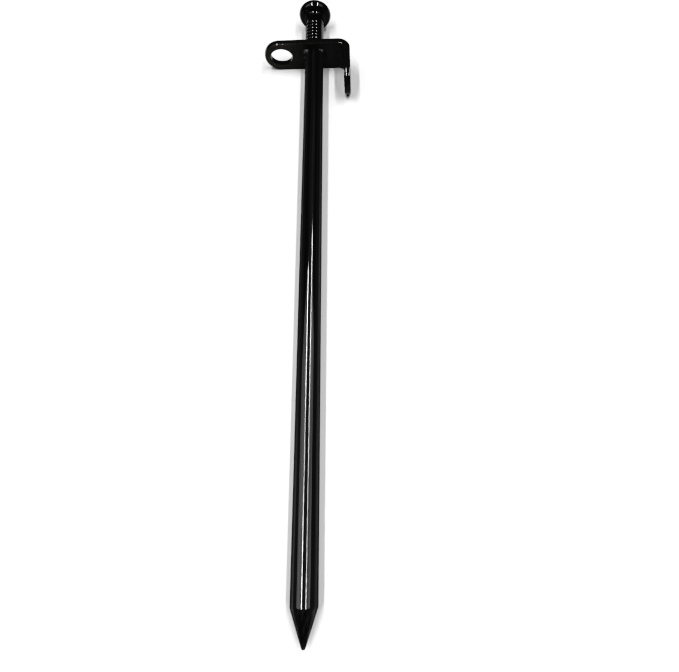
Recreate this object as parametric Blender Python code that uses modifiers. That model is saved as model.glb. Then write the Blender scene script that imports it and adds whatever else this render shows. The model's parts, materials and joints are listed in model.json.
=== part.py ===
"""Steel ground stake: a headed round spike with a welded eyelet-and-hook plate.

Every piece is drawn standing on its point: the spike's axis is +Z, the point is at the
bottom, the hook is on the +X side and the eyelet on the -X side. One empty then lays the
whole stake down as it rests on flat ground, axis along Y and head towards +Y.
"""
import math

import bmesh
import bpy
from mathutils import Matrix, Vector

MM = 0.001

# Driving dimensions, in metres
OVERALL_LENGTH = 300.0 * MM
SHANK_RADIUS = 4.7625 * MM
POINT_LENGTH = 11.6 * MM
POINT_BLUNT_RADIUS = 0.55 * MM

HEAD_RADIUS = 8.75 * MM
HEAD_RIM_HEIGHT = 295.2 * MM
HEAD_RIM_LAND = 0.5 * MM
CROWN_FLAT_RADIUS = 2.4 * MM
RIM_SHOULDER_RADIUS = 8.55 * MM
RIM_SHOULDER_HEIGHT = 293.3 * MM
FLARE_TOP = 292.4 * MM
FLARE_BOTTOM = 287.0 * MM
FLARE_TOP_RADIUS = 8.0 * MM
FLARE_POWER = 3.0

RIDGE_COUNT = 8
RIDGE_PITCH = 2.5 * MM
FIRST_RIDGE = 267.0 * MM
RIDGE_CREST = 0.20 * MM
RIDGE_TROUGH = 0.20 * MM
RIDGE_CREST_WIDTH = 1.0 * MM

PLATE_THICKNESS = 3.2 * MM
PLATE_WIDTH = 16.8 * MM
PLATE_NEAR_FACE = 262.5 * MM
EYELET_END_X = -17.7 * MM
EYELET_HOLE_X = -17.3 * MM
EYELET_HOLE_RADIUS = 5.9 * MM
TAB_OUTER_X = 19.2 * MM
TAB_END = 236.8 * MM
BEND_INNER_RADIUS = 2.6 * MM
EDGE_BREAK = 0.35 * MM

FIT_GAP = 0.3 * MM
WELD_LEG = 2.9 * MM
WELD_HALF_SPAN = math.radians(58.0)

TURNED_STEPS = 36
BEND_STEPS = 6
HALF_CIRCLE_STEPS = 20
WELD_SECTIONS = 15


def clear_scene():
    for old in list(bpy.data.objects):
        bpy.data.objects.remove(old, do_unlink=True)


def new_collection(name):
    collection = bpy.data.collections.new(name)
    bpy.context.scene.collection.children.link(collection)
    return collection


def painted_steel(name, color, roughness):
    """Black coating on steel: a dielectric film, so not metallic."""
    material = bpy.data.materials.new(name)
    material.use_nodes = True
    shader = material.node_tree.nodes["Principled BSDF"]
    shader.inputs["Base Color"].default_value = (*color, 1.0)
    shader.inputs["Roughness"].default_value = roughness
    shader.inputs["Metallic"].default_value = 0.0
    material.diffuse_color = (*color, 1.0)
    return material


def object_from_bmesh(name, bm, collection, material):
    mesh = bpy.data.meshes.new(name)
    bm.to_mesh(mesh)
    bm.free()
    mesh.materials.append(material)
    obj = bpy.data.objects.new(name, mesh)
    collection.objects.link(obj)
    return obj


def shade(obj, angle_degrees):
    obj.data.shade_smooth()
    obj.data.set_sharp_from_angle(angle=math.radians(angle_degrees))


# ---------------------------------------------------------------- spike

def crown_profile():
    """Low domed crown with a small flat striking face, from the axis out to the rim."""
    flat = CROWN_FLAT_RADIUS
    rise = OVERALL_LENGTH - HEAD_RIM_HEIGHT
    offset = (HEAD_RADIUS ** 2 - flat ** 2 - rise ** 2) / (2.0 * rise)
    dome_radius = math.hypot(HEAD_RADIUS, offset)
    start = math.asin(flat / dome_radius)
    end = math.asin(HEAD_RADIUS / dome_radius)
    steps = 6
    points = [(0.0, OVERALL_LENGTH)]
    for i in range(steps + 1):
        angle = start + (end - start) * i / steps
        height = HEAD_RIM_HEIGHT - offset + dome_radius * math.cos(angle)
        points.append((dome_radius * math.sin(angle), height))
    points.append((HEAD_RADIUS, HEAD_RIM_HEIGHT - HEAD_RIM_LAND))
    return points


def neck_radius(height):
    """The bar's own radius, growing into the head along the flare."""
    if height <= FLARE_BOTTOM:
        return SHANK_RADIUS
    t = (height - FLARE_BOTTOM) / (FLARE_TOP - FLARE_BOTTOM)
    return SHANK_RADIUS + (FLARE_TOP_RADIUS - SHANK_RADIUS) * t ** FLARE_POWER


def flare_profile():
    """Underside of the head, from the rim down to the first grip ridge."""
    top_ridge = FIRST_RIDGE + RIDGE_PITCH * (RIDGE_COUNT - 1)
    bottom = top_ridge + RIDGE_PITCH
    steps = 6
    points = [(RIM_SHOULDER_RADIUS, RIM_SHOULDER_HEIGHT)]
    for i in range(steps + 1):
        height = FLARE_TOP + (bottom - FLARE_TOP) * i / steps
        points.append((neck_radius(height), height))
    return points


def ridge_profile():
    """Grip ridges that the heading dies leave on the neck, top ridge first."""
    points = []
    for i in reversed(range(RIDGE_COUNT)):
        middle = FIRST_RIDGE + RIDGE_PITCH * i
        trough = middle + RIDGE_PITCH / 2.0
        upper = middle + RIDGE_CREST_WIDTH / 2.0
        lower = middle - RIDGE_CREST_WIDTH / 2.0
        points.append((neck_radius(trough) - RIDGE_TROUGH, trough))
        points.append((neck_radius(upper) + RIDGE_CREST, upper))
        points.append((neck_radius(lower) + RIDGE_CREST, lower))
    return points


def shank_profile():
    """Plain shank, turned point and its small blunt end."""
    shank_top = FIRST_RIDGE - RIDGE_PITCH / 2.0
    return [
        (SHANK_RADIUS, shank_top),
        (SHANK_RADIUS, POINT_LENGTH),
        (POINT_BLUNT_RADIUS, 0.0),
        (0.0, 0.0),
    ]


def make_spike(collection, material):
    profile = crown_profile() + flare_profile() + ridge_profile() + shank_profile()
    bm = bmesh.new()
    verts = [bm.verts.new((radius, 0.0, height)) for radius, height in profile]
    for upper, lower in zip(verts, verts[1:]):
        bm.edges.new((upper, lower))
    spike = object_from_bmesh("spike", bm, collection, material)
    screw = spike.modifiers.new("turn", "SCREW")
    screw.axis = "Z"
    screw.angle = 2.0 * math.pi
    screw.steps = TURNED_STEPS
    screw.render_steps = TURNED_STEPS
    screw.use_merge_vertices = True
    screw.merge_threshold = 0.00002
    screw.use_smooth_shade = False
    return spike


# ---------------------------------------------------------------- hook plate

def circle_points(center_x, radius, steps):
    turn = 2.0 * math.pi / steps
    return [
        (center_x + radius * math.cos(turn * i), radius * math.sin(turn * i))
        for i in range(steps)
    ]


def blank_length():
    """Length of straight tab plus the unrolled bend, measured from the bend's start."""
    middle_radius = BEND_INNER_RADIUS + PLATE_THICKNESS / 2.0
    unrolled = middle_radius * math.pi / 2.0
    bend_center_height = PLATE_NEAR_FACE - BEND_INNER_RADIUS
    return unrolled + bend_center_height - TAB_END


def bend_start_x():
    return TAB_OUTER_X - PLATE_THICKNESS - BEND_INNER_RADIUS


def blank_outline():
    """Flat blank before bending: a strip with a half-round end at each side."""
    half = PLATE_WIDTH / 2.0
    tab_center = bend_start_x() + blank_length() - half
    points = []
    for i in range(HALF_CIRCLE_STEPS + 1):
        angle = -math.pi / 2.0 + math.pi * i / HALF_CIRCLE_STEPS
        points.append((tab_center + half * math.cos(angle), half * math.sin(angle)))
    for i in range(HALF_CIRCLE_STEPS + 1):
        angle = math.pi / 2.0 + math.pi * i / HALF_CIRCLE_STEPS
        points.append((EYELET_END_X + half * math.cos(angle), half * math.sin(angle)))
    return points


def blank_object():
    """The blank as a filled 2D curve with the eyelet hole and the shank's hole."""
    curve = bpy.data.curves.new("blank", "CURVE")
    curve.dimensions = "2D"
    curve.fill_mode = "BOTH"
    curve.extrude = PLATE_THICKNESS / 2.0
    outlines = [
        blank_outline(),
        circle_points(EYELET_HOLE_X, EYELET_HOLE_RADIUS, 2 * HALF_CIRCLE_STEPS),
        circle_points(0.0, SHANK_RADIUS + FIT_GAP, 2 * HALF_CIRCLE_STEPS),
    ]
    for outline in outlines:
        spline = curve.splines.new("POLY")
        spline.points.add(len(outline) - 1)
        for point, (x, y) in zip(spline.points, outline):
            point.co = (x, y, 0.0, 1.0)
        spline.use_cyclic_u = True
    obj = bpy.data.objects.new("blank", curve)
    obj.location = (0.0, 0.0, PLATE_NEAR_FACE + PLATE_THICKNESS / 2.0)
    return obj


def mesh_from_curve(obj):
    """Evaluated mesh of a curve object, in world space with its caps welded."""
    bpy.context.scene.collection.objects.link(obj)
    depsgraph = bpy.context.evaluated_depsgraph_get()
    mesh = bpy.data.meshes.new_from_object(obj.evaluated_get(depsgraph))
    bm = bmesh.new()
    bm.from_mesh(mesh)
    bmesh.ops.transform(bm, matrix=obj.matrix_world, verts=bm.verts)
    bmesh.ops.remove_doubles(bm, verts=bm.verts, dist=0.00001)
    bmesh.ops.recalc_face_normals(bm, faces=bm.faces)
    bpy.data.objects.remove(obj, do_unlink=True)
    bpy.data.meshes.remove(mesh)
    return bm


def bend_point(co):
    """Roll the blank's far end down round the bend, then straight towards the point."""
    start = bend_start_x()
    middle_radius = BEND_INNER_RADIUS + PLATE_THICKNESS / 2.0
    along = co.x - start
    if along <= 0.0:
        return co.copy()
    center = Vector((start, co.y, PLATE_NEAR_FACE - BEND_INNER_RADIUS))
    radius = co.z - center.z
    unrolled = middle_radius * math.pi / 2.0
    angle = min(along / middle_radius, math.pi / 2.0)
    past = max(along - unrolled, 0.0)
    offset = Vector((radius * math.sin(angle), 0.0, radius * math.cos(angle) - past))
    return center + offset


def make_hook_plate(collection, material):
    bm = mesh_from_curve(blank_object())
    unrolled = (BEND_INNER_RADIUS + PLATE_THICKNESS / 2.0) * math.pi / 2.0
    for i in range(BEND_STEPS + 1):
        cut = bend_start_x() + unrolled * i / BEND_STEPS
        everything = bm.verts[:] + bm.edges[:] + bm.faces[:]
        bmesh.ops.bisect_plane(bm, geom=everything, plane_co=(cut, 0, 0), plane_no=(1, 0, 0))
    for vert in bm.verts:
        vert.co = bend_point(vert.co)
    plate = object_from_bmesh("hook_plate", bm, collection, material)
    bevel = plate.modifiers.new("edge_break", "BEVEL")
    bevel.width = EDGE_BREAK
    bevel.segments = 1
    bevel.limit_method = "ANGLE"
    bevel.angle_limit = math.radians(50.0)
    return plate


# ---------------------------------------------------------------- weld beads

def weld_section(size):
    """Fillet section as (distance from the shank, depth below the plate), bulging out."""
    leg = WELD_LEG * size
    points = [(0.0, 0.0), (leg, 0.0)]
    steps = 5
    for i in range(1, steps):
        angle = math.pi / 2.0 * i / steps
        points.append((leg * math.cos(angle) ** 1.4, leg * math.sin(angle) ** 1.4))
    points.append((0.0, leg))
    return points


def make_weld_bead(name, side_angle, collection, material):
    """Crescent of weld metal in the corner between the shank and the plate."""
    inner = SHANK_RADIUS + FIT_GAP
    ceiling = PLATE_NEAR_FACE - FIT_GAP
    bm = bmesh.new()
    rings = []
    for i in range(WELD_SECTIONS):
        t = 2.0 * i / (WELD_SECTIONS - 1) - 1.0
        size = 0.25 + 0.75 * math.sqrt(max(1.0 - t * t, 0.0))
        size *= 1.0 + 0.05 * math.cos(i * 2.0)
        angle = side_angle + t * WELD_HALF_SPAN
        ring = []
        for out, down in weld_section(size):
            radius = inner + out
            place = (radius * math.cos(angle), radius * math.sin(angle), ceiling - down)
            ring.append(bm.verts.new(place))
        rings.append(ring)
    count = len(rings[0])
    for first, second in zip(rings, rings[1:]):
        for j in range(count):
            k = (j + 1) % count
            bm.faces.new((first[j], first[k], second[k], second[j]))
    bm.faces.new(rings[0])
    bm.faces.new(list(reversed(rings[-1])))
    bmesh.ops.recalc_face_normals(bm, faces=bm.faces)
    return object_from_bmesh(name, bm, collection, material)


# ---------------------------------------------------------------- laying the stake down

def resting_slopes():
    """Slopes of the ground under the stake, along its axis and across it.

    The stake touches the ground at three places: the shank where the point begins, the
    hook's lower edge where its round end begins, and the eyelet's lower edge.
    """
    half = PLATE_WIDTH / 2.0
    hook_contact = TAB_END + half
    hook_inner_x = TAB_OUTER_X - PLATE_THICKNESS
    step_up = PLATE_NEAR_FACE - hook_contact
    across_per_along = step_up / (hook_inner_x - EYELET_END_X)
    lever = hook_contact - POINT_LENGTH + hook_inner_x * across_per_along
    along = (half - SHANK_RADIUS) / lever
    return along, along * across_per_along


def lay_down(pieces, collection):
    """Rest the stake on flat ground at z = 0, centred over the origin."""
    along, across = resting_slopes()
    up = Vector((across, -1.0, along)).normalized()
    forward = (Vector((0.0, 0.0, 1.0)) - up * up.z).normalized()
    rotation = Matrix((forward.cross(up), forward, up))
    depth = SHANK_RADIUS * math.hypot(1.0, across) - POINT_LENGTH * along
    height = depth / math.hypot(1.0, across, along)
    eyelet_end = EYELET_END_X - PLATE_WIDTH / 2.0
    lay = bpy.data.objects.new("resting_attitude", None)
    lay.location = (-(eyelet_end + TAB_OUTER_X) / 2.0, -OVERALL_LENGTH / 2.0, height)
    lay.rotation_euler = rotation.to_euler()
    collection.objects.link(lay)
    for piece in pieces:
        piece.parent = lay
        piece.matrix_parent_inverse = Matrix.Identity(4)


def main():
    clear_scene()
    collection = new_collection("ground_stake")
    spike_paint = painted_steel("spike_black_gloss", (0.012, 0.012, 0.013), 0.16)
    plate_paint = painted_steel("plate_black_satin", (0.020, 0.019, 0.018), 0.34)
    weld_paint = painted_steel("weld_black_satin", (0.016, 0.016, 0.016), 0.30)
    spike = make_spike(collection, spike_paint)
    plate = make_hook_plate(collection, plate_paint)
    left = make_weld_bead("weld_bead_left", math.pi, collection, weld_paint)
    right = make_weld_bead("weld_bead_right", 0.0, collection, weld_paint)
    shade(plate, 30.0)
    shade(left, 40.0)
    shade(right, 40.0)
    lay_down([spike, plate, left, right], collection)


main()
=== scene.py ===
"""Looks for the ground stake: fine meshes, coatings, ground, lights and camera."""
import json
import math

import bmesh
import bpy
from mathutils import Matrix, Vector, noise


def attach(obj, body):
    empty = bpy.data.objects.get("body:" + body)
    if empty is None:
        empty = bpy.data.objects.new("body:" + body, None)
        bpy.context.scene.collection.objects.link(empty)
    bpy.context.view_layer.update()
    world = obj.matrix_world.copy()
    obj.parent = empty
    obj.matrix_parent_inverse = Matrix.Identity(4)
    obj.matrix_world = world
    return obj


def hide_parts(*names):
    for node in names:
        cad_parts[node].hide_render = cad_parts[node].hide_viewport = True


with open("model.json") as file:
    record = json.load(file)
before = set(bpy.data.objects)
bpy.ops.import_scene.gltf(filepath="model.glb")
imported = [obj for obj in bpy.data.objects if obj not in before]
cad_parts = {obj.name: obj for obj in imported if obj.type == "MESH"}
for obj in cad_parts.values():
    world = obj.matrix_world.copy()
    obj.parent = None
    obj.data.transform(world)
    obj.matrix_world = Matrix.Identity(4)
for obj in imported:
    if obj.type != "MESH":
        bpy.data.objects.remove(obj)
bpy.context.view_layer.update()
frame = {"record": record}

MM = 0.001

# The stake's own dimensions, in metres, in its standing frame: the point at the origin, the
# axis along +Z, the hook on +X. Lying on the ground, -Y of this frame points up.
OVERALL_LENGTH = 300.0 * MM
SHANK_RADIUS = 4.7625 * MM
POINT_LENGTH = 11.6 * MM
POINT_BLUNT_RADIUS = 0.55 * MM
STRIKING_FACE_OFFSET = 1.0 * MM

HEAD_RADIUS = 8.75 * MM
RIDGE_COUNT = 8
RIDGE_PITCH = 2.5 * MM
FIRST_RIDGE = 267.0 * MM
# Ridges stand out by the crest, the troughs between them are cut in, and the sharpness is a
# ridge's half width as a share of half the pitch. The smooth bands beside them swell a little.
RIDGE_CREST = 0.20 * MM
RIDGE_TROUGH = 0.06 * MM
RIDGE_SHARPNESS = 0.27
BAND_SWELL = 0.12 * MM
RIDGE_SECTOR_CENTER = math.radians(-121.0)
RIDGE_SECTOR_HALF = math.radians(60.0)
SECTOR_FADE = math.radians(5.0)
FORGED_LUMP = 0.035 * MM
FORGED_LUMPS_PER_METRE = 260.0

PLATE_THICKNESS = 3.2 * MM
PLATE_WIDTH = 16.8 * MM
SHANK_HOLE_CLEARANCE = 0.05 * MM
PLATE_NEAR_FACE = 262.5 * MM
# The eyelet's round end and its hole, which is slightly oval: narrower across the plate.
EYELET_END_X = -18.2 * MM
EYELET_HOLE_X = -17.55 * MM
EYELET_HOLE_RADIUS = 5.85 * MM
EYELET_SQUASH = 0.88
TAB_OUTER_X = 19.2 * MM
TAB_END = 237.4 * MM
BEND_INNER_RADIUS = 3.3 * MM
# The sheared edge bulges. It stands out most at one height and draws back by the crown at
# the near face, with the die roll's corner there and a softened burr at the far face.
EDGE_CROWN = 0.40 * MM
EDGE_PROUDEST = 0.60 * PLATE_THICKNESS
DIE_ROLL = 0.32 * MM
DIE_ROLL_TURNS = (0.0, 18.0, 36.0, 54.0, 72.0)
BURR_ROUND = 0.30 * MM
BURR_TURNS = (25.0, 50.0, 75.0, 90.0)
PUNCHED_ROUND = 0.14 * MM

# The bead on the hook side is smaller, since nothing stands out there in the photograph.
WELD_LEG = 2.9 * MM
HOOK_SIDE_WELD_LEG = 0.78 * WELD_LEG
WELD_HALF_SPAN = math.radians(62.0)
WELD_OVERLAP = 0.12 * MM

# The plate was welded a little out of square: its hook end sits nearer the head.
PLATE_SKEW = 0.0215
PLATE_SKEW_PIVOT_X = -18.5 * MM

# Faces round the spike.
TURNED_COLUMNS = 128

# Looks shared by the four coatings, and the two greys of the ground.
SPECULAR_LEVEL = 0.42
GROUND_DARK = (0.385, 0.385, 0.387)
GROUND_PALE = (0.395, 0.395, 0.395)
GROUND_RADIUS = 0.72

# Lights hang face down over the stake: name, centre measured from the stake's point (x across
# the stake, y along it), size across, size along, and how bright the surface looks.
LIGHT_HEIGHT = 1.20
TUBE_WIDTH = 0.050
TUBE_RADIANCE = 104.0
LIGHTS = (
    ("tube_left", -0.344, 0.0975, TUBE_WIDTH, 1.235, TUBE_RADIANCE),
    ("tube_right", 0.413, 0.170, TUBE_WIDTH, 1.38, TUBE_RADIANCE),
    ("panel_left", -1.35, 0.11, 1.65, 1.26, 3.45),
    ("panel_right", 1.10, 0.11, 1.10, 1.26, 3.2),
)
ROOM_STRENGTH = 0.10
BACKDROP_STRENGTH = 0.95

# The camera, in the stake's standing frame as (hook side, along the axis, up). The small shift
# is there because the photograph is a crop that is not centred on its vanishing point.
CAMERA_POSITION = (0.01984, 0.03999, 0.19676)
CAMERA_RIGHT = (0.999714, -0.022833, -0.007058)
CAMERA_DOWN = (-0.023684, -0.907058, -0.420339)
CAMERA_LOOK = (0.003196, 0.420386, -0.907340)
SENSOR_WIDTH_MM = 36.0
FOCAL_LENGTH_MM = 26.7693667
SHIFT_X = -0.02724595
SHIFT_Y = -0.08689249
NEAR_CLIP = 0.01

# Contrast of the photograph: the darkest tones are crushed, the pale ones nearly unchanged.
TONE_CURVE = (
    (0.0, 0.0010), (0.02, 0.0030), (0.04, 0.0046), (0.06, 0.0070), (0.08, 0.0120),
    (0.10, 0.0235), (0.12, 0.0410), (0.20, 0.1260), (0.50, 0.4530), (1.0, 1.0),
)


# ---------------------------------------------------------------- placing pieces

def resting_matrix():
    """Standing frame to world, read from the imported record's mounts."""
    mounts = {mount["name"]: mount for mount in frame["record"]["mounts"]}
    crown = mounts["striking_face"]
    along = Vector(crown["axis"]).normalized()
    side = Vector(mounts["hook_outer_face"]["axis"])
    side = (side - along * side.dot(along)).normalized()
    down = along.cross(side)
    origin = Vector(crown["pos_m"]) - side * STRIKING_FACE_OFFSET - along * OVERALL_LENGTH
    matrix = Matrix((side, down, along)).transposed().to_4x4()
    matrix.translation = origin
    return matrix


RESTING = resting_matrix()


def place(name, bm, materials, node):
    """Make a piece from a mesh in the standing frame and let it stand for its CAD node."""
    mesh = bpy.data.meshes.new(name)
    bm.to_mesh(mesh)
    bm.free()
    mesh.transform(RESTING)
    for material in materials:
        mesh.materials.append(material)
    piece = bpy.data.objects.new(name, mesh)
    bpy.context.scene.collection.objects.link(piece)
    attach(piece, "root")
    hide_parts(node)
    return piece


def smoothstep(low, high, value):
    t = min(max((value - low) / (high - low), 0.0), 1.0)
    return t * t * (3.0 - 2.0 * t)


# ---------------------------------------------------------------- node helpers

class Nodes:
    """Small helper that builds one material's node tree.

    The plain colour and roughness are what a viewer without the node tree falls back to.
    """

    # Sockets of the Mix node when it mixes colours.
    MIX_FACTOR, MIX_FIRST, MIX_SECOND, MIX_RESULT = 0, 6, 7, 2

    def __init__(self, name, base_color, roughness, specular_level=SPECULAR_LEVEL):
        self.material = bpy.data.materials.new(name)
        self.material.use_nodes = True
        self.tree = self.material.node_tree
        self.shader = self.tree.nodes["Principled BSDF"]
        self.shader.inputs["Base Color"].default_value = (*base_color, 1.0)
        self.shader.inputs["Roughness"].default_value = roughness
        self.shader.inputs["Specular IOR Level"].default_value = specular_level
        standing_frame = self.add("ShaderNodeMapping")
        standing_frame.inputs["Location"].default_value = RESTING.inverted().translation
        standing_frame.inputs["Rotation"].default_value = RESTING.inverted().to_euler()
        coords = self.add("ShaderNodeTexCoord").outputs["Object"]
        self.link(coords, standing_frame.inputs["Vector"])
        self.coords = standing_frame.outputs["Vector"]

    def add(self, kind):
        return self.tree.nodes.new(kind)

    def link(self, output, socket):
        self.tree.links.new(output, socket)

    def stretched(self, scale):
        """Standing-frame coordinates, in metres, multiplied per axis."""
        mapping = self.add("ShaderNodeMapping")
        mapping.inputs["Scale"].default_value = scale
        self.link(self.coords, mapping.inputs["Vector"])
        return mapping.outputs["Vector"]

    def noise(self, scale, detail=3.0, roughness=0.5, vector=None):
        texture = self.add("ShaderNodeTexNoise")
        texture.inputs["Scale"].default_value = scale
        texture.inputs["Detail"].default_value = detail
        texture.inputs["Roughness"].default_value = roughness
        self.link(self.coords if vector is None else vector, texture.inputs["Vector"])
        return texture.outputs["Fac"]

    def spots(self, scale, size):
        """Round spots, 1 at the middle of each and 0 outside, for pits and spatter."""
        cells = self.add("ShaderNodeTexVoronoi")
        cells.inputs["Scale"].default_value = scale
        self.link(self.coords, cells.inputs["Vector"])
        return self.remap(cells.outputs["Distance"], 0.0, size, 1.0, 0.0)

    def remap(self, value, low, high, to_low, to_high):
        node = self.add("ShaderNodeMapRange")
        node.inputs["From Min"].default_value = low
        node.inputs["From Max"].default_value = high
        node.inputs["To Min"].default_value = to_low
        node.inputs["To Max"].default_value = to_high
        self.link(value, node.inputs["Value"])
        return node.outputs["Result"]

    def math(self, operation, first, second):
        node = self.add("ShaderNodeMath")
        node.operation = operation
        for socket, value in zip(node.inputs, (first, second)):
            if isinstance(value, (int, float)):
                socket.default_value = value
            else:
                self.link(value, socket)
        return node.outputs["Value"]

    def mix_color(self, factor, first, second):
        node = self.add("ShaderNodeMix")
        node.data_type = "RGBA"
        for number, value in ((self.MIX_FIRST, first), (self.MIX_SECOND, second)):
            if isinstance(value, tuple):
                node.inputs[number].default_value = (*value, 1.0)
            else:
                self.link(value, node.inputs[number])
        self.link(factor, node.inputs[self.MIX_FACTOR])
        return node.outputs[self.MIX_RESULT]

    def attribute(self, name):
        node = self.add("ShaderNodeAttribute")
        node.attribute_name = name
        return node.outputs["Fac"]

    def bump(self, height, distance, strength, under=None):
        node = self.add("ShaderNodeBump")
        node.inputs["Strength"].default_value = strength
        node.inputs["Distance"].default_value = distance
        self.link(height, node.inputs["Height"])
        if under is not None:
            self.link(under, node.inputs["Normal"])
        return node.outputs["Normal"]


# ---------------------------------------------------------------- coatings

def spike_paint():
    """Gloss black over drawn bar: lengthwise draw lines, light orange peel, grey wear.

    Draw lines, the scatter at grazing angles and lighter lengthwise streaks in the base colour,
    a painted sheen that stands in for streaks in the reflection, are only on the plain shank,
    where the drawn attribute is 1. The forged head and neck are smooth.
    """
    n = Nodes("spike_gloss_black", (0.004, 0.004, 0.005), 0.09)
    draw_lines_per_metre = (2200.0, 2200.0, 5.0)
    # Scale of the painted sheen: long, narrow streaks along the shank.
    painted_sheen_streaks_per_metre = (760.0, 760.0, 6.0)
    drawn = n.attribute("drawn")
    lines = n.noise(1.0, 3.0, 0.55, n.stretched(draw_lines_per_metre))
    bands = n.noise(1.0, 2.0, 0.6, n.stretched(painted_sheen_streaks_per_metre))
    peel = n.noise(900.0, 2.0)
    cloud = n.noise(60.0, 4.0, 0.6)
    grit = n.noise(2400.0, 3.0, 0.7)
    worn = n.math("MULTIPLY", n.attribute("wear"), n.remap(grit, 0.48, 0.60, 0.0, 1.0))
    # Painted sheen: lighter lengthwise streaks in the base colour stand in for streaky reflection
    # on the shank.
    painted_sheen_streak = n.math("MULTIPLY", n.remap(bands, 0.40, 0.64, 0.0, 1.0), drawn)
    tone = n.mix_color(painted_sheen_streak, (0.0020, 0.0020, 0.0022), (0.024, 0.024, 0.0245))
    n.link(n.mix_color(worn, tone, (0.050, 0.049, 0.047)), n.shader.inputs["Base Color"])
    rough = n.remap(cloud, 0.3, 0.7, 0.04, 0.07)
    rough = n.math("ADD", rough, n.remap(lines, 0.40, 0.70, 0.0, 0.06))
    rough = n.math("ADD", rough, n.math("MULTIPLY", worn, 0.25))
    grazing = n.add("ShaderNodeLayerWeight")
    grazing.inputs["Blend"].default_value = 0.5
    scatter = n.remap(grazing.outputs["Facing"], 0.38, 0.66, 0.0, 0.62)
    rough = n.math("ADD", rough, n.math("MULTIPLY", scatter, drawn))
    n.link(rough, n.shader.inputs["Roughness"])
    normal = n.bump(n.math("MULTIPLY", lines, drawn), 0.010 * MM, 0.7)
    normal = n.bump(peel, 0.006 * MM, 0.4, normal)
    n.link(normal, n.shader.inputs["Normal"])
    return n.material


def plate_paint():
    """Satin black over pressed plate: soft mottling, orange peel and a few pits.

    The lighter brownish patches are strongest on the eyelet end and fade to about a third towards
    the hook.
    """
    n = Nodes("plate_satin_black", (0.008, 0.0078, 0.007), 0.30)
    cloud = n.noise(140.0, 5.0, 0.62)
    peel = n.noise(1100.0, 2.0)
    pits = n.spots(420.0, 0.16)
    grit = n.noise(2200.0, 3.0, 0.7)
    worn = n.math("MULTIPLY", n.attribute("wear"), n.remap(grit, 0.50, 0.62, 0.0, 1.0))
    across = n.add("ShaderNodeSeparateXYZ")
    n.link(n.coords, across.inputs["Vector"])
    # Lighter brownish patches at full strength at the eyelet end, fading to about a third towards
    # the hook.
    eyelet_end_weight = n.remap(across.outputs["X"], -12.0 * MM, -2.0 * MM, 1.0, 0.35)
    patches = n.remap(n.noise(95.0, 3.0, 0.55), 0.34, 0.62, 0.0, 1.0)
    patches = n.math("MULTIPLY", patches, eyelet_end_weight)
    tone = n.mix_color(patches, (0.004, 0.004, 0.004), (0.042, 0.039, 0.034))
    n.link(n.mix_color(worn, tone, (0.06, 0.058, 0.054)), n.shader.inputs["Base Color"])
    rough = n.math("ADD", n.remap(cloud, 0.3, 0.7, 0.18, 0.34), n.math("MULTIPLY", pits, 0.15))
    n.link(rough, n.shader.inputs["Roughness"])
    normal = n.bump(peel, 0.016 * MM, 0.6)
    normal = n.bump(cloud, 0.06 * MM, 0.35, normal)
    normal = n.bump(pits, 0.03 * MM, -0.4, normal)
    n.link(normal, n.shader.inputs["Normal"])
    return n.material


def sheared_edge_paint():
    """The same coating over the plate's sheared edge, whose torn grain shows through.

    The flat attribute is the vertex's place on the blank before bending, so the tears follow
    the edge round the bend. The paint lies thicker and glossier on the tab.
    """
    n = Nodes("sheared_edge_black", (0.007, 0.007, 0.007), 0.14)
    flat = n.add("ShaderNodeAttribute")
    flat.attribute_name = "flat"
    torn = n.add("ShaderNodeMapping")
    torn.inputs["Scale"].default_value = (2600.0, 2600.0, 260.0)
    n.link(flat.outputs["Vector"], torn.inputs["Vector"])
    tears = n.noise(1.0, 3.0, 0.6, torn.outputs["Vector"])
    grain = n.noise(1500.0, 3.0, 0.6)
    cloud = n.noise(300.0, 3.0)
    tone = n.mix_color(cloud, (0.003, 0.003, 0.003), (0.012, 0.0115, 0.011))
    n.link(tone, n.shader.inputs["Base Color"])
    length = n.add("ShaderNodeSeparateXYZ")
    n.link(flat.outputs["Vector"], length.inputs["Vector"])
    pooled = n.remap(length.outputs["X"], 17.0 * MM, 20.0 * MM, 0.0, 0.08)
    rough = n.math("SUBTRACT", n.remap(grain, 0.3, 0.7, 0.13, 0.24), pooled)
    n.link(rough, n.shader.inputs["Roughness"])
    normal = n.bump(tears, 0.040 * MM, 0.6)
    normal = n.bump(grain, 0.020 * MM, 0.5, normal)
    n.link(normal, n.shader.inputs["Normal"])
    return n.material


def weld_paint():
    """Duller coating over rough weld metal and its spatter."""
    n = Nodes("weld_black", (0.008, 0.008, 0.008), 0.22)
    cloud = n.noise(500.0, 4.0, 0.6)
    spatter = n.spots(1500.0, 0.30)
    tone = n.mix_color(cloud, (0.004, 0.004, 0.004), (0.013, 0.0125, 0.012))
    n.link(tone, n.shader.inputs["Base Color"])
    n.link(n.remap(cloud, 0.3, 0.7, 0.34, 0.52), n.shader.inputs["Roughness"])
    normal = n.bump(cloud, 0.08 * MM, 0.7)
    normal = n.bump(spatter, 0.04 * MM, 0.5, normal)
    n.link(normal, n.shader.inputs["Normal"])
    return n.material


# ---------------------------------------------------------------- spike

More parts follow.
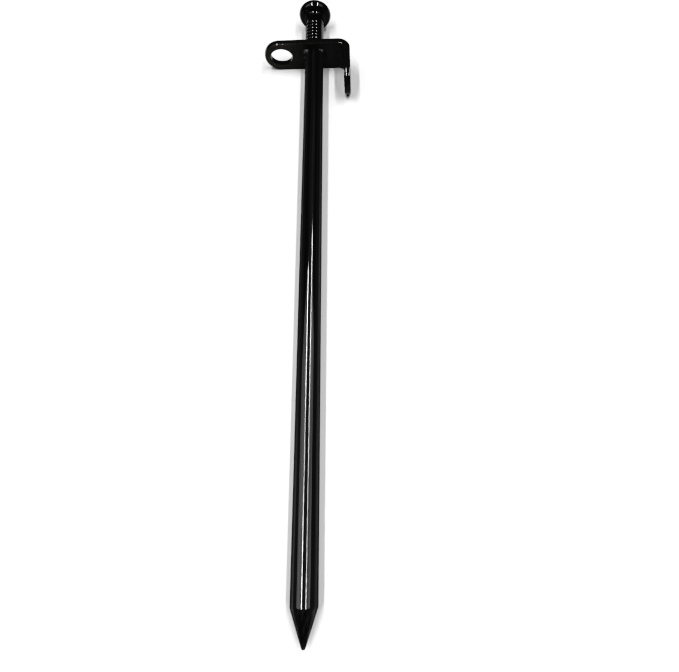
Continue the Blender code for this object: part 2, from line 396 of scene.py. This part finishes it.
def curve_through(points, steps):
    """Centripetal Catmull-Rom curve through 2D points, with a number of steps per span."""
    ends = [points[0] * 2.0 - points[1]] + points + [points[-1] * 2.0 - points[-2]]
    result = []
    for a, b, c, d in zip(ends, ends[1:], ends[2:], ends[3:]):
        ta, tb = 0.0, math.sqrt((b - a).length)
        tc = tb + math.sqrt((c - b).length)
        td = tc + math.sqrt((d - c).length)
        for i in range(steps):
            t = tb + (tc - tb) * i / steps
            ab = a.lerp(b, (t - ta) / (tb - ta))
            bc = b.lerp(c, (t - tb) / (tc - tb))
            cd = c.lerp(d, (t - tc) / (td - tc))
            abc = ab.lerp(bc, (t - ta) / (tc - ta))
            bcd = bc.lerp(cd, (t - tb) / (td - tb))
            result.append(abc.lerp(bcd, (t - tb) / (tc - tb)))
    result.append(points[-1])
    return result


def head_rows():
    """(radius, height) rows of the crown, rim and underside, from the axis outward and down."""
    outline = [
        (2.4, 300.0), (4.6, 299.35), (6.7, 298.1), (8.05, 296.8), (8.6, 295.95), (8.75, 295.25),
        (8.7, 294.5), (8.5, 293.75), (8.22, 293.15), (7.9, 292.7), (7.5, 292.35), (7.0, 292.14),
        (6.4, 291.98), (5.8, 291.78), (5.38, 291.48), (5.1, 291.05), (4.93, 290.45), (4.86, 289.7),
        (4.83, 288.6), (4.82, 287.2), (4.82, 285.6),
    ]
    points = [Vector((radius * MM, height * MM)) for radius, height in outline]
    steps_per_span = 5
    rows = [(0.8 * MM, OVERALL_LENGTH), (1.7 * MM, OVERALL_LENGTH)]
    for point in curve_through(points, steps_per_span):
        rows.append((point.x, min(point.y, OVERALL_LENGTH)))
    return rows


def neck_rows():
    """Rows down the ridged neck, twenty to each ridge."""
    rows = []
    steps_per_ridge = 20
    top = FIRST_RIDGE + RIDGE_PITCH * (RIDGE_COUNT - 0.5)
    for i in range(RIDGE_COUNT * steps_per_ridge + 1):
        rows.append((SHANK_RADIUS, top - RIDGE_PITCH * i / steps_per_ridge))
    return rows


def shank_rows():
    """Rows down the plain shank, from just below the neck to just above the point."""
    rows = []
    top = FIRST_RIDGE - RIDGE_PITCH * 0.5 - 0.4 * MM
    bottom = POINT_LENGTH + 0.35 * MM
    steps = 60
    for i in range(steps + 1):
        rows.append((SHANK_RADIUS, top + (bottom - top) * i / steps))
    return rows


def point_rows():
    """Turned point: a small break at its base, a straight taper and a rounded blunt end."""
    slope = (SHANK_RADIUS - POINT_BLUNT_RADIUS) / POINT_LENGTH
    rows = [(SHANK_RADIUS - 0.015 * MM, POINT_LENGTH + 0.1 * MM)]
    steps = 16
    for i in range(steps + 1):
        height = (POINT_LENGTH - 0.15 * MM) * (1.0 - i / steps) + 0.45 * MM * (i / steps)
        rows.append((POINT_BLUNT_RADIUS + slope * height, height))
    rows.append((POINT_BLUNT_RADIUS + 0.02 * MM, 0.15 * MM))
    rows.append((POINT_BLUNT_RADIUS * 0.75, 0.03 * MM))
    rows.append((POINT_BLUNT_RADIUS * 0.3, 0.0))
    return rows


def ridge_sector(angle):
    """1 where the heading dies gripped the bar, 0 on the two smooth bands between them."""
    offset = (angle - RIDGE_SECTOR_CENTER + math.pi / 2.0) % math.pi - math.pi / 2.0
    edge = RIDGE_SECTOR_HALF
    return 1.0 - smoothstep(edge - SECTOR_FADE, edge + SECTOR_FADE, abs(offset))


def neck_relief(height, angle):
    """Height of the grip ridges and of the bands between them over the plain bar."""
    along = (height - FIRST_RIDGE) / RIDGE_PITCH
    if along < -0.5 or along > RIDGE_COUNT + 1.5:
        return 0.0
    end = smoothstep(-0.5, -0.2, along)
    end *= 1.0 - smoothstep(RIDGE_COUNT, RIDGE_COUNT + 1.5, along)
    phase = 2.0 * (along - min(max(round(along), 0), RIDGE_COUNT - 1))
    rib = math.exp(-(phase / RIDGE_SHARPNESS) ** 2)
    ridged = (RIDGE_CREST + RIDGE_TROUGH) * rib - RIDGE_TROUGH
    weight = ridge_sector(angle)
    return end * (ridged * weight + BAND_SWELL * (1.0 - weight))


def forged_unevenness(height, x, y):
    """Small lumps that forging leaves on the head and neck."""
    amount = smoothstep(FIRST_RIDGE, FIRST_RIDGE + 12.0 * MM, height) * FORGED_LUMP
    return amount * noise.noise(Vector((x, y, height)) * FORGED_LUMPS_PER_METRE)


def make_spike(material):
    """The spike as one closed mesh of rings, with its wear and drawn attributes."""
    rows = head_rows() + neck_rows()[1:] + shank_rows() + point_rows()
    bm = bmesh.new()
    wear = bm.verts.layers.float.new("wear")
    drawn = bm.verts.layers.float.new("drawn")
    rings = []
    for radius, height in rows:
        ring = []
        for column in range(TURNED_COLUMNS):
            angle = 2.0 * math.pi * column / TURNED_COLUMNS
            reach = radius + neck_relief(height, angle)
            reach += forged_unevenness(height, radius * math.cos(angle), radius * math.sin(angle))
            vert = bm.verts.new((reach * math.cos(angle), reach * math.sin(angle), height))
            vert[wear] = spike_wear(reach, height)
            vert[drawn] = 1.0 - smoothstep(FIRST_RIDGE - 4.0 * MM, FIRST_RIDGE - 2.0 * MM, height)
            ring.append(vert)
        rings.append(ring)
    for upper, lower in zip(rings, rings[1:]):
        for i in range(TURNED_COLUMNS):
            j = (i + 1) % TURNED_COLUMNS
            bm.faces.new((upper[i], lower[i], lower[j], upper[j]))
    bm.faces.new(rings[0])
    bm.faces.new(list(reversed(rings[-1])))
    bmesh.ops.recalc_face_normals(bm, faces=bm.faces)
    piece = place("stake_spike", bm, [material], "spike")
    piece.data.shade_smooth()
    piece.data.set_sharp_from_angle(angle=math.radians(28.0))


def spike_wear(radius, height):
    """Where handling rubs the coating: the head's rim, the cone's base and the very tip."""
    rim = 1.0 - smoothstep(0.0, 0.5 * MM, HEAD_RADIUS - radius)
    cone_base = 1.0 - smoothstep(0.0, 0.5 * MM, abs(height - POINT_LENGTH))
    tip = 1.0 - smoothstep(0.3 * MM, 2.2 * MM, height)
    return max(0.35 * rim, 0.30 * cone_base, 0.8 * tip)


# ---------------------------------------------------------------- hook plate

def arc_points(center_x, radius, start, end, steps):
    """Points and outward directions along an arc whose centre is on the plate's middle line."""
    points = []
    for i in range(steps + 1):
        angle = start + (end - start) * i / steps
        out = Vector((math.cos(angle), math.sin(angle), 0.0))
        points.append((Vector((center_x, 0.0, 0.0)) + out * radius, out))
    return points


def bend_start_x():
    """Where the flat of the plate ends and the bend to the hook begins."""
    return TAB_OUTER_X - PLATE_THICKNESS - BEND_INNER_RADIUS


def unrolled_bend():
    """Length of the bend along the middle of the plate's thickness."""
    return (BEND_INNER_RADIUS + PLATE_THICKNESS / 2.0) * math.pi / 2.0


def blank_loops():
    """Outline of the flat blank, then its eyelet hole and the hole for the shank."""
    half = PLATE_WIDTH / 2.0
    tab_length = PLATE_NEAR_FACE - BEND_INNER_RADIUS - TAB_END
    tab_center = bend_start_x() + unrolled_bend() + tab_length - half
    quarter = math.pi / 2.0
    outline = arc_points(tab_center, half, -quarter, quarter, 48)
    outline += arc_points(EYELET_END_X, half, quarter, 3.0 * quarter, 48)
    eyelet = arc_points(EYELET_HOLE_X, EYELET_HOLE_RADIUS, 0.0, 4.0 * quarter, 96)[:-1]
    shank = arc_points(0.0, SHANK_RADIUS + SHANK_HOLE_CLEARANCE, 0.0, 4.0 * quarter, 64)[:-1]
    eyelet = [(Vector((point.x, point.y * EYELET_SQUASH, 0.0)), -out) for point, out in eyelet]
    shank = [(point, -out) for point, out in shank]
    return [outline, eyelet, shank]


def edge_profile(die_roll, burr_round, crown):
    """(inset, height) steps over a cut edge: die roll, crowned band, rounded burr."""
    top = PLATE_THICKNESS - burr_round
    profile = []
    for turn in DIE_ROLL_TURNS:
        angle = math.radians(turn)
        profile.append((die_roll * (1.0 - math.sin(angle)), die_roll * (1.0 - math.cos(angle))))
    for i in range(9):
        profile.append((0.0, die_roll + (top - die_roll) * i / 8.0))
    for turn in BURR_TURNS:
        angle = math.radians(turn)
        profile.append((burr_round * (1.0 - math.cos(angle)), top + burr_round * math.sin(angle)))
    crowned = []
    for inset, height in profile:
        from_proudest = (height - EDGE_PROUDEST) / EDGE_PROUDEST
        crowned.append((inset + crown * from_proudest ** 2, height))
    return crowned


def blank_mesh():
    """The flat blank as a closed mesh, its lower face on the plate's near face."""
    bm = bmesh.new()
    worn = bm.verts.layers.float.new("wear")
    near_edges = []
    far_edges = []
    for number, loop in enumerate(blank_loops()):
        if number == 0:
            profile = edge_profile(DIE_ROLL, BURR_ROUND, EDGE_CROWN)
        else:
            profile = edge_profile(PUNCHED_ROUND, PUNCHED_ROUND, 0.0)
        rings = []
        for inset, height in profile:
            ring = []
            for point, out in loop:
                co = point - out * inset
                vert = bm.verts.new((co.x, co.y, PLATE_NEAR_FACE + height))
                vert[worn] = edge_wear(height)
                ring.append(vert)
            rings.append(ring)
        count = len(loop)
        for step, (lower, upper) in enumerate(zip(rings, rings[1:])):
            for i in range(count):
                j = (i + 1) % count
                face = bm.faces.new((lower[i], lower[j], upper[j], upper[i]))
                face.material_index = 1 if step >= len(DIE_ROLL_TURNS) - 1 else 0
        for i in range(count):
            j = (i + 1) % count
            near_edges.append(bm.edges.get((rings[0][i], rings[0][j])))
            far_edges.append(bm.edges.get((rings[-1][i], rings[-1][j])))
    bmesh.ops.triangle_fill(bm, edges=near_edges, use_beauty=True, normal=(0.0, 0.0, -1.0))
    bmesh.ops.triangle_fill(bm, edges=far_edges, use_beauty=True, normal=(0.0, 0.0, 1.0))
    bmesh.ops.recalc_face_normals(bm, faces=bm.faces)
    return bm


def edge_wear(height):
    """Where handling rubs the plate: a little along both corners of the sheared edge."""
    near = 1.0 - smoothstep(0.0, 0.5 * MM, height)
    far = 1.0 - smoothstep(0.0, 0.35 * MM, PLATE_THICKNESS - height)
    return 0.35 * max(near, far)


def bend_point(co):
    """Roll the blank's hook end down round the bend, then straight towards the point."""
    along = co.x - bend_start_x()
    if along <= 0.0:
        return co.copy()
    center = Vector((bend_start_x(), co.y, PLATE_NEAR_FACE - BEND_INNER_RADIUS))
    radius = co.z - center.z
    angle = min(along / (unrolled_bend() / (math.pi / 2.0)), math.pi / 2.0)
    past = max(along - unrolled_bend(), 0.0)
    return center + Vector((radius * math.sin(angle), 0.0, radius * math.cos(angle) - past))


def skewed(co):
    """A point of the plate or its welds, moved up the shank by the plate's small skew."""
    return co + Vector((0.0, 0.0, PLATE_SKEW * (co.x - PLATE_SKEW_PIVOT_X)))


def make_hook_plate(face_material, edge_material):
    """The blank cut into strips across the bend, then bent and set a little out of square."""
    bm = blank_mesh()
    steps = 18
    cuts = [bend_start_x() + unrolled_bend() * i / steps for i in range(steps + 1)]
    for cut in cuts:
        everything = bm.verts[:] + bm.edges[:] + bm.faces[:]
        bmesh.ops.bisect_plane(bm, geom=everything, plane_co=(cut, 0, 0), plane_no=(1, 0, 0))
    flat = bm.verts.layers.float_vector.new("flat")
    for vert in bm.verts:
        vert[flat] = vert.co.copy()
        vert.co = skewed(bend_point(vert.co))
    materials = [face_material, edge_material]
    piece = place("stake_hook_plate", bm, materials, "hook_plate")
    piece.data.shade_smooth()
    weighted = piece.modifiers.new("flat_faces_stay_flat", "WEIGHTED_NORMAL")
    weighted.weight = 90


# ---------------------------------------------------------------- weld beads

def make_weld_bead(name, node, side_angle, seed, full_leg, material):
    """Lumpy fillet bead in the corner between shank and plate, laid in short steps."""
    sections = 56
    profile_steps = 14
    lobes = 4.0
    corner = SHANK_RADIUS - WELD_OVERLAP
    ceiling = PLATE_NEAR_FACE + WELD_OVERLAP
    bm = bmesh.new()
    rings = []
    for i in range(sections):
        t = 2.0 * i / (sections - 1) - 1.0
        ends = max(1.0 - abs(t) ** 3.0, 0.0) ** 0.6
        step = abs(math.sin((t + 0.13 * seed) * lobes * math.pi / 2.0))
        size = (0.12 + 0.88 * ends) * (0.80 + 0.26 * step)
        angle = side_angle + t * WELD_HALF_SPAN
        leg = full_leg * size
        ring = []
        for j in range(profile_steps + 1):
            turn = math.pi / 2.0 * j / profile_steps
            out = leg * math.cos(turn) ** 1.25
            down = leg * 0.95 * math.sin(turn) ** 1.25
            spot = Vector((math.cos(angle) * 3.0, math.sin(angle) * 3.0, turn * 1.2 + seed * 7.0))
            lump = 1.0 + 0.16 * noise.noise(spot * 1.3)
            radius = corner + out * lump
            height = ceiling - down * lump
            co = Vector((radius * math.cos(angle), radius * math.sin(angle), height))
            ring.append(bm.verts.new(skewed(co)))
        root = Vector((corner * math.cos(angle), corner * math.sin(angle), ceiling))
        ring.append(bm.verts.new(skewed(root)))
        rings.append(ring)
    count = len(rings[0])
    for first, second in zip(rings, rings[1:]):
        for j in range(count):
            k = (j + 1) % count
            bm.faces.new((first[j], first[k], second[k], second[j]))
    bm.faces.new(rings[0])
    bm.faces.new(list(reversed(rings[-1])))
    bmesh.ops.recalc_face_normals(bm, faces=bm.faces)
    piece = place(name, bm, [material], node)
    piece.data.shade_smooth()
    piece.data.set_sharp_from_angle(angle=math.radians(50.0))


# ---------------------------------------------------------------- stage, lights and camera

def make_ground():
    """Pale matt disc under the stake, nearly one grey, with a fine tooth."""
    n = Nodes("white_ground", (0.39, 0.39, 0.39), 0.55, specular_level=0.25)
    tone = n.mix_color(n.noise(9.0, 3.0), GROUND_DARK, GROUND_PALE)
    n.link(tone, n.shader.inputs["Base Color"])
    n.link(n.bump(n.noise(1800.0, 2.0), 0.02 * MM, 0.4), n.shader.inputs["Normal"])
    bpy.ops.mesh.primitive_circle_add(vertices=128, radius=GROUND_RADIUS, fill_type="NGON")
    ground = bpy.context.object
    ground.name = "ground"
    ground.data.materials.append(n.material)


def area_light(name, center, size_x, size_y, radiance):
    """A downward rectangle of light, set by how bright its surface looks."""
    data = bpy.data.lights.new(name, "AREA")
    data.shape = "RECTANGLE"
    data.size = size_x
    data.size_y = size_y
    data.energy = radiance * math.pi * size_x * size_y
    light = bpy.data.objects.new(name, data)
    light.location = center
    bpy.context.scene.collection.objects.link(light)


def make_lights():
    """Two long tubes overhead, either side of the stake, and a dim panel beyond each."""
    point = RESTING.translation
    for name, x, y, size_x, size_y, radiance in LIGHTS:
        area_light(name, (point.x + x, point.y + y, LIGHT_HEIGHT), size_x, size_y, radiance)


def make_world():
    """Dim room round the ground; the backdrop that the camera sees past it is pale."""
    world = bpy.data.worlds.new("room")
    bpy.context.scene.world = world
    world.use_nodes = True
    tree = world.node_tree
    background = tree.nodes["Background"]
    path = tree.nodes.new("ShaderNodeLightPath")
    seen = tree.nodes.new("ShaderNodeMapRange")
    seen.inputs["To Min"].default_value = ROOM_STRENGTH
    seen.inputs["To Max"].default_value = BACKDROP_STRENGTH
    tree.links.new(path.outputs["Is Camera Ray"], seen.inputs["Value"])
    tree.links.new(seen.outputs["Result"], background.inputs["Strength"])
    background.inputs["Color"].default_value = (1.0, 1.0, 1.0, 1.0)


def standing(hook_side, along, up):
    """Point or direction given as (hook side, along the axis, up), in the standing frame."""
    return Vector((hook_side, -up, along))


def make_camera():
    """The photograph's viewpoint: above the point end, looking down and towards the head."""
    data = bpy.data.cameras.new("camera")
    camera = bpy.data.objects.new("camera", data)
    bpy.context.scene.collection.objects.link(camera)
    turn = RESTING.to_3x3()
    right = turn @ standing(*CAMERA_RIGHT)
    image_down = turn @ standing(*CAMERA_DOWN)
    look = turn @ standing(*CAMERA_LOOK)
    camera.matrix_world = Matrix((right, -image_down, -look)).transposed().to_4x4()
    camera.matrix_world.translation = RESTING @ standing(*CAMERA_POSITION)
    data.sensor_width = SENSOR_WIDTH_MM
    data.lens = FOCAL_LENGTH_MM
    data.shift_x = SHIFT_X
    data.shift_y = SHIFT_Y
    data.clip_start = NEAR_CLIP
    bpy.context.scene.camera = camera


def set_contrast():
    """Give the picture the photograph's contrast with the view settings' combined curve."""
    view = bpy.context.scene.view_settings
    view.view_transform = "Standard"
    view.use_curve_mapping = True
    combined = view.curve_mapping.curves[3]
    combined.points[0].location = TONE_CURVE[0]
    combined.points[1].location = TONE_CURVE[-1]
    for light, shown in TONE_CURVE[1:-1]:
        combined.points.new(light, shown)
    view.curve_mapping.update()


make_camera()
set_contrast()
make_spike(spike_paint())
make_hook_plate(plate_paint(), sheared_edge_paint())
weld = weld_paint()
make_weld_bead("stake_weld_left", "weld_bead_left", math.pi, 1, WELD_LEG, weld)
make_weld_bead("stake_weld_right", "weld_bead_right", 0.0, 2, HOOK_SIDE_WELD_LEG, weld)
make_ground()
make_lights()
make_world()
